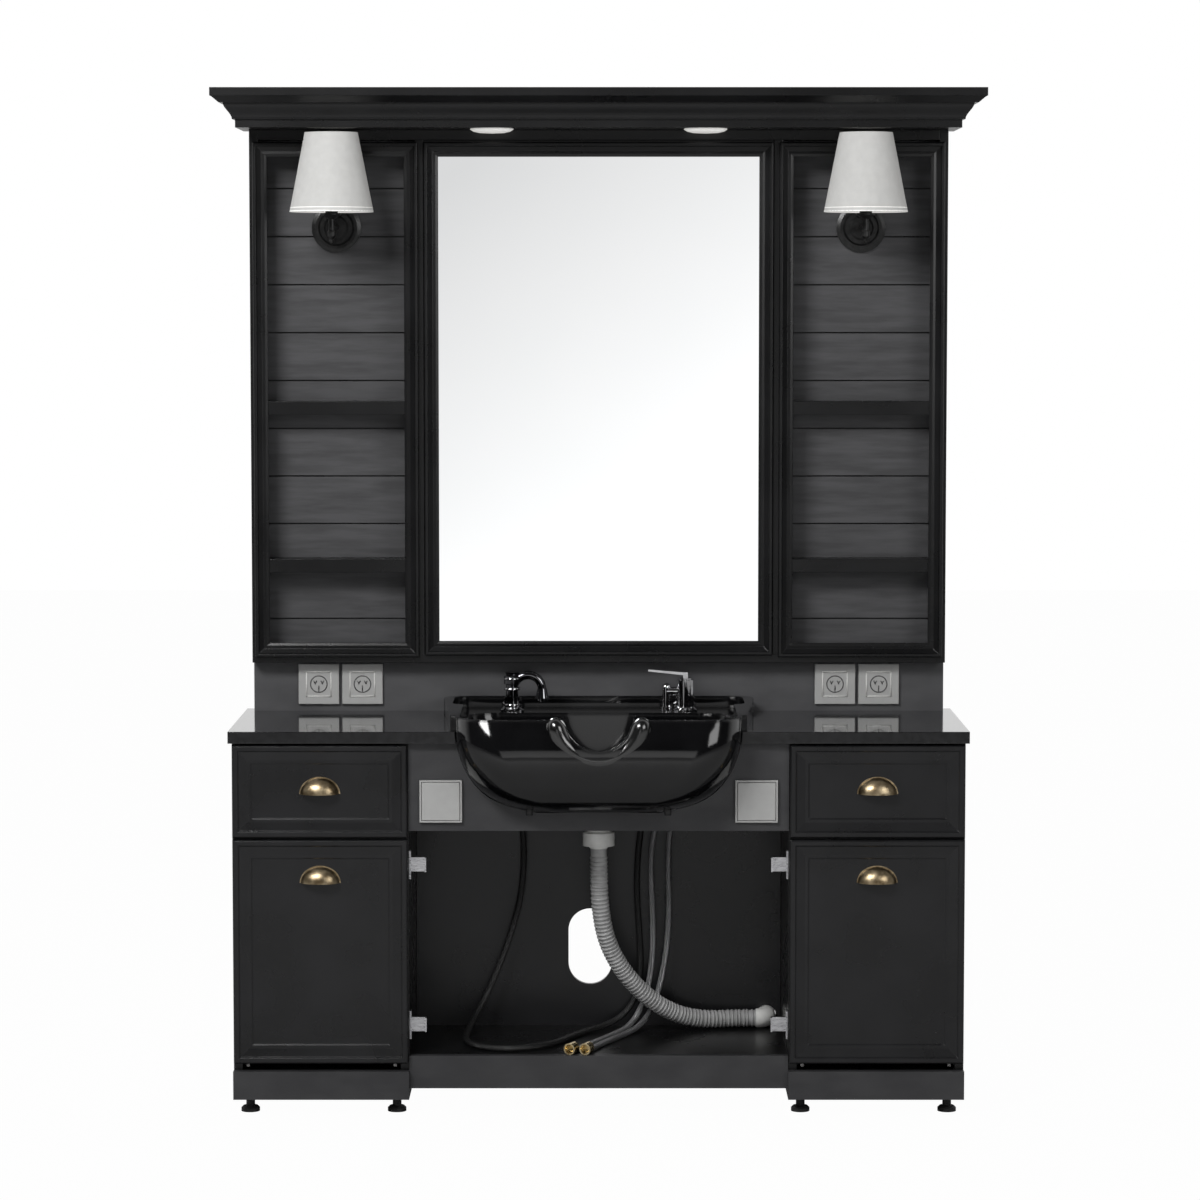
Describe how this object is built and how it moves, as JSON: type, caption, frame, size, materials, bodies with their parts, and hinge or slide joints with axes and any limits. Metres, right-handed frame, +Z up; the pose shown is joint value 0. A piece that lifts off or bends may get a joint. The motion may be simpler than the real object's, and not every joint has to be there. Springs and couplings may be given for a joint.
{
  "type": "salon styling station",
  "caption": "Black salon styling station with framed mirror, side shelf niches, wall lamps, front wash basin, drawers and tilt-out towel hampers.",
  "frame": {"origin": "on the floor, in the middle of the footprint from the front of the basin to the wall", "axes": "+Z up, +X across the station to the right seen from the front, the front faces -Y"},
  "size_m": [1.594, 0.56, 2.09],
  "materials": {
    "black_lacquer": "satin black lacquer",
    "charcoal_planks": "matt charcoal boards",
    "counter_gloss": "polished black worktop",
    "drawer_board": "grey melamine",
    "aged_brass": "aged satin brass",
    "zinc_steel": "zinc plated",
    "foot_rubber": "matt",
    "mirror_silver": "polished",
    "plate_grey": "satin light grey",
    "lamp_white": "white lens in a metal ring",
    "black_iron": "black powder coat",
    "shade_fabric": "white woven shade",
    "bulb_glass": "frosted",
    "basin_black": "gloss black glaze",
    "neck_rubber": "gloss moulded",
    "chrome": "polished",
    "waste_plastic": "white plumbing plastic",
    "spray_black": "satin",
    "braided_steel": "braided",
    "drain_grey": "corrugated",
    "brass_nut": "machined"
  },
  "bodies": {
    "station": {"apron": "black_lacquer", "backsplash": "black_lacquer", "base_backs": "black_lacquer", "base_boards": "black_lacquer", "base_rails": "black_lacquer", "basin": "basin_black", "cold_hose": "braided_steel", "countertop": "counter_gloss", "crown_boards": "black_lacquer", "crown_moulding": "black_lacquer", "drain_hose": "drain_grey", "drain_strainer": "chrome", "drawer_runners": "zinc_steel", "hamper_hinges": "zinc_steel", "handset_holder": "chrome", "hose_nuts": "brass_nut", "hot_hose": "braided_steel", "inner_sides": "black_lacquer", "left_inner_socket": "plate_grey", "left_outer_socket": "plate_grey", "levelling_feet": "foot_rubber", "mirror_glass": "mirror_silver", "mirror_moulding": "black_lacquer", "mixer_base": "chrome", "neck_rest": "neck_rubber", "niche_mouldings": "black_lacquer", "niche_planks": "charcoal_planks", "niche_shelves": "black_lacquer", "outer_sides": "black_lacquer", "panel_clips": "zinc_steel", "right_inner_socket": "plate_grey", "right_outer_socket": "plate_grey", "sconce_brackets": "black_iron", "sconce_bulbs": "bulb_glass", "sconce_shades": "shade_fabric", "spotlights": "lamp_white", "spray_hose": "spray_black", "switch_frames": "plate_grey", "upper_backs": "black_lacquer", "upper_boards": "black_lacquer", "upper_gables": "black_lacquer", "waste_elbow": "waste_plastic", "waste_fitting": "waste_plastic"},
    "left_drawer": {"left_drawer_front": "black_lacquer", "left_drawer_box": "drawer_board", "left_drawer_pull": "aged_brass"},
    "right_drawer": {"right_drawer_front": "black_lacquer", "right_drawer_box": "drawer_board", "right_drawer_pull": "aged_brass"},
    "left_hamper": {"left_hamper_front": "black_lacquer", "left_hamper_bin": "drawer_board", "left_hamper_pull": "aged_brass"},
    "right_hamper": {"right_hamper_front": "black_lacquer", "right_hamper_bin": "drawer_board", "right_hamper_pull": "aged_brass"},
    "left_rocker": {"left_switch_rocker": "plate_grey"},
    "right_rocker": {"right_switch_rocker": "plate_grey"},
    "handset": {"handset": "chrome"},
    "mixer_cap": {"mixer_cap": "chrome"},
    "mixer_lever": {"mixer_lever": "chrome"}
  },
  "joints": [
    {"name": "left_drawer_slide", "type": "slide", "parent": "station", "child": "left_drawer", "axis": [0, -1, 0], "range_m": [0, 0.28]},
    {"name": "left_hamper_tilt", "type": "hinge", "parent": "station", "child": "left_hamper", "pos_m": [-0.565, -0.14, 0.105], "axis": [1, 0, 0], "range_deg": [0, 25]},
    {"name": "left_switch_rock", "type": "hinge", "parent": "station", "child": "left_rocker", "pos_m": [-0.32, -0.151, 0.643], "axis": [1, 0, 0], "range_deg": [-4, 4]},
    {"name": "right_drawer_slide", "type": "slide", "parent": "station", "child": "right_drawer", "axis": [0, -1, 0], "range_m": [0, 0.28]},
    {"name": "right_hamper_tilt", "type": "hinge", "parent": "station", "child": "right_hamper", "pos_m": [0.565, -0.14, 0.105], "axis": [1, 0, 0], "range_deg": [0, 25]},
    {"name": "right_switch_rock", "type": "hinge", "parent": "station", "child": "right_rocker", "pos_m": [0.32, -0.151, 0.643], "axis": [1, 0, 0], "range_deg": [-4, 4]},
    {"name": "handset_lift", "type": "slide", "parent": "station", "child": "handset", "axis": [0, 0, 1], "range_m": [0, 0.15]},
    {"name": "mixer_turn", "type": "hinge", "parent": "station", "child": "mixer_cap", "pos_m": [0.182, 0.15, 0.848], "axis": [0, 0, 1], "range_deg": [-45, 45]},
    {"name": "mixer_lift", "type": "hinge", "parent": "mixer_cap", "child": "mixer_lever", "pos_m": [0.182, 0.15, 0.8704], "axis": [0, 1, 0], "range_deg": [0, 25]}
  ]
}
